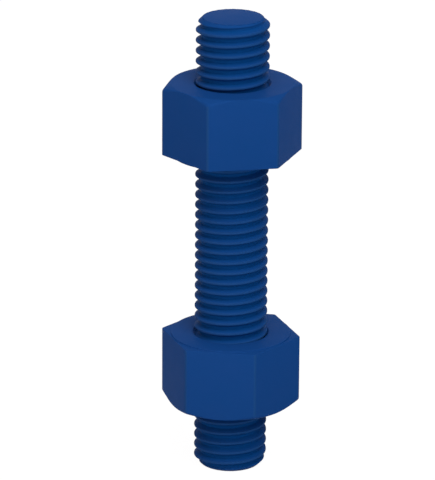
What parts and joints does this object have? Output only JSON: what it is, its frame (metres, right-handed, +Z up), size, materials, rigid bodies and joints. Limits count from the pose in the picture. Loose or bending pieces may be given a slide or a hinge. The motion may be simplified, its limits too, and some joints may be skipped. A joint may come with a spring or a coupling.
{
  "type": "stud bolt with nuts",
  "caption": "Fully threaded stud, chamfered at both ends, with a heavy hex nut run on near each end, to clamp flanges; blue coated steel.",
  "frame": {"origin": "middle of the stud's flat lower end, on which it stands", "axes": "+Z up along the stud's axis, +X to the right and +Y away from the viewer in the picture"},
  "size_m": [0.0302, 0.0288, 0.1016],
  "materials": {
    "stud_coating": "satin blue dry-film coating on alloy steel",
    "nut_coating": "satin blue dry-film coating on carbon steel"
  },
  "bodies": {
    "stud": {"stud": "stud_coating"},
    "upper_nut": {"upper_nut": "nut_coating"},
    "lower_nut": {"lower_nut": "nut_coating"}
  },
  "joints": [
    {"name": "upper_nut_travel", "type": "slide", "parent": "stud", "child": "upper_nut", "axis": [0, 0, 1], "range_m": [-0.01847, 0.01385]},
    {"name": "lower_nut_travel", "type": "slide", "parent": "stud", "child": "lower_nut", "axis": [0, 0, 1], "range_m": [-0.01385, 0.01847]}
  ]
}
